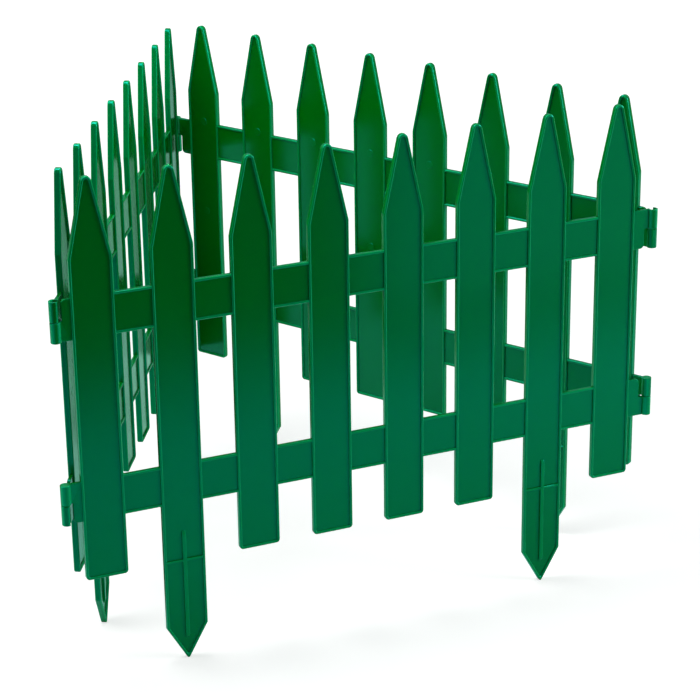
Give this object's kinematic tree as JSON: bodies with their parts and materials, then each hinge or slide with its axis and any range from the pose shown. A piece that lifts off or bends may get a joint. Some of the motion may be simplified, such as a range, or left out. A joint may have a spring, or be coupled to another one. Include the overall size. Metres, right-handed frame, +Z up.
{
  "type": "garden fence of clipped picket panels",
  "caption": "Low plastic picket fence for a flower bed, made of like panels with ground spikes that hinge together at clip-on corners into a closed triangle.",
  "frame": {"origin": "on the floor, under the middle of the fence's box in plan", "axes": "+Z up along the pickets, +X along the front panel to its clip end, -Y out of the front panel's outer face"},
  "size_m": [0.4396, 0.3816, 0.3475],
  "materials": {
    "green_polypropylene": "injection-moulded, satin gloss"
  },
  "bodies": {
    "front_panel": {"front_panel": "green_polypropylene"},
    "back_panel": {"back_panel": "green_polypropylene"},
    "left_panel": {"left_panel": "green_polypropylene"}
  },
  "joints": [
    {"name": "left_corner_hinge", "type": "hinge", "parent": "front_panel", "child": "left_panel", "pos_m": [-0.2163, -0.18732, 0], "axis": [0, 0, 1], "range_deg": [0, 210]},
    {"name": "right_corner_hinge", "type": "hinge", "parent": "front_panel", "child": "back_panel", "pos_m": [0.2163, -0.18732, 0], "axis": [0, 0, -1], "range_deg": [0, 210]}
  ]
}
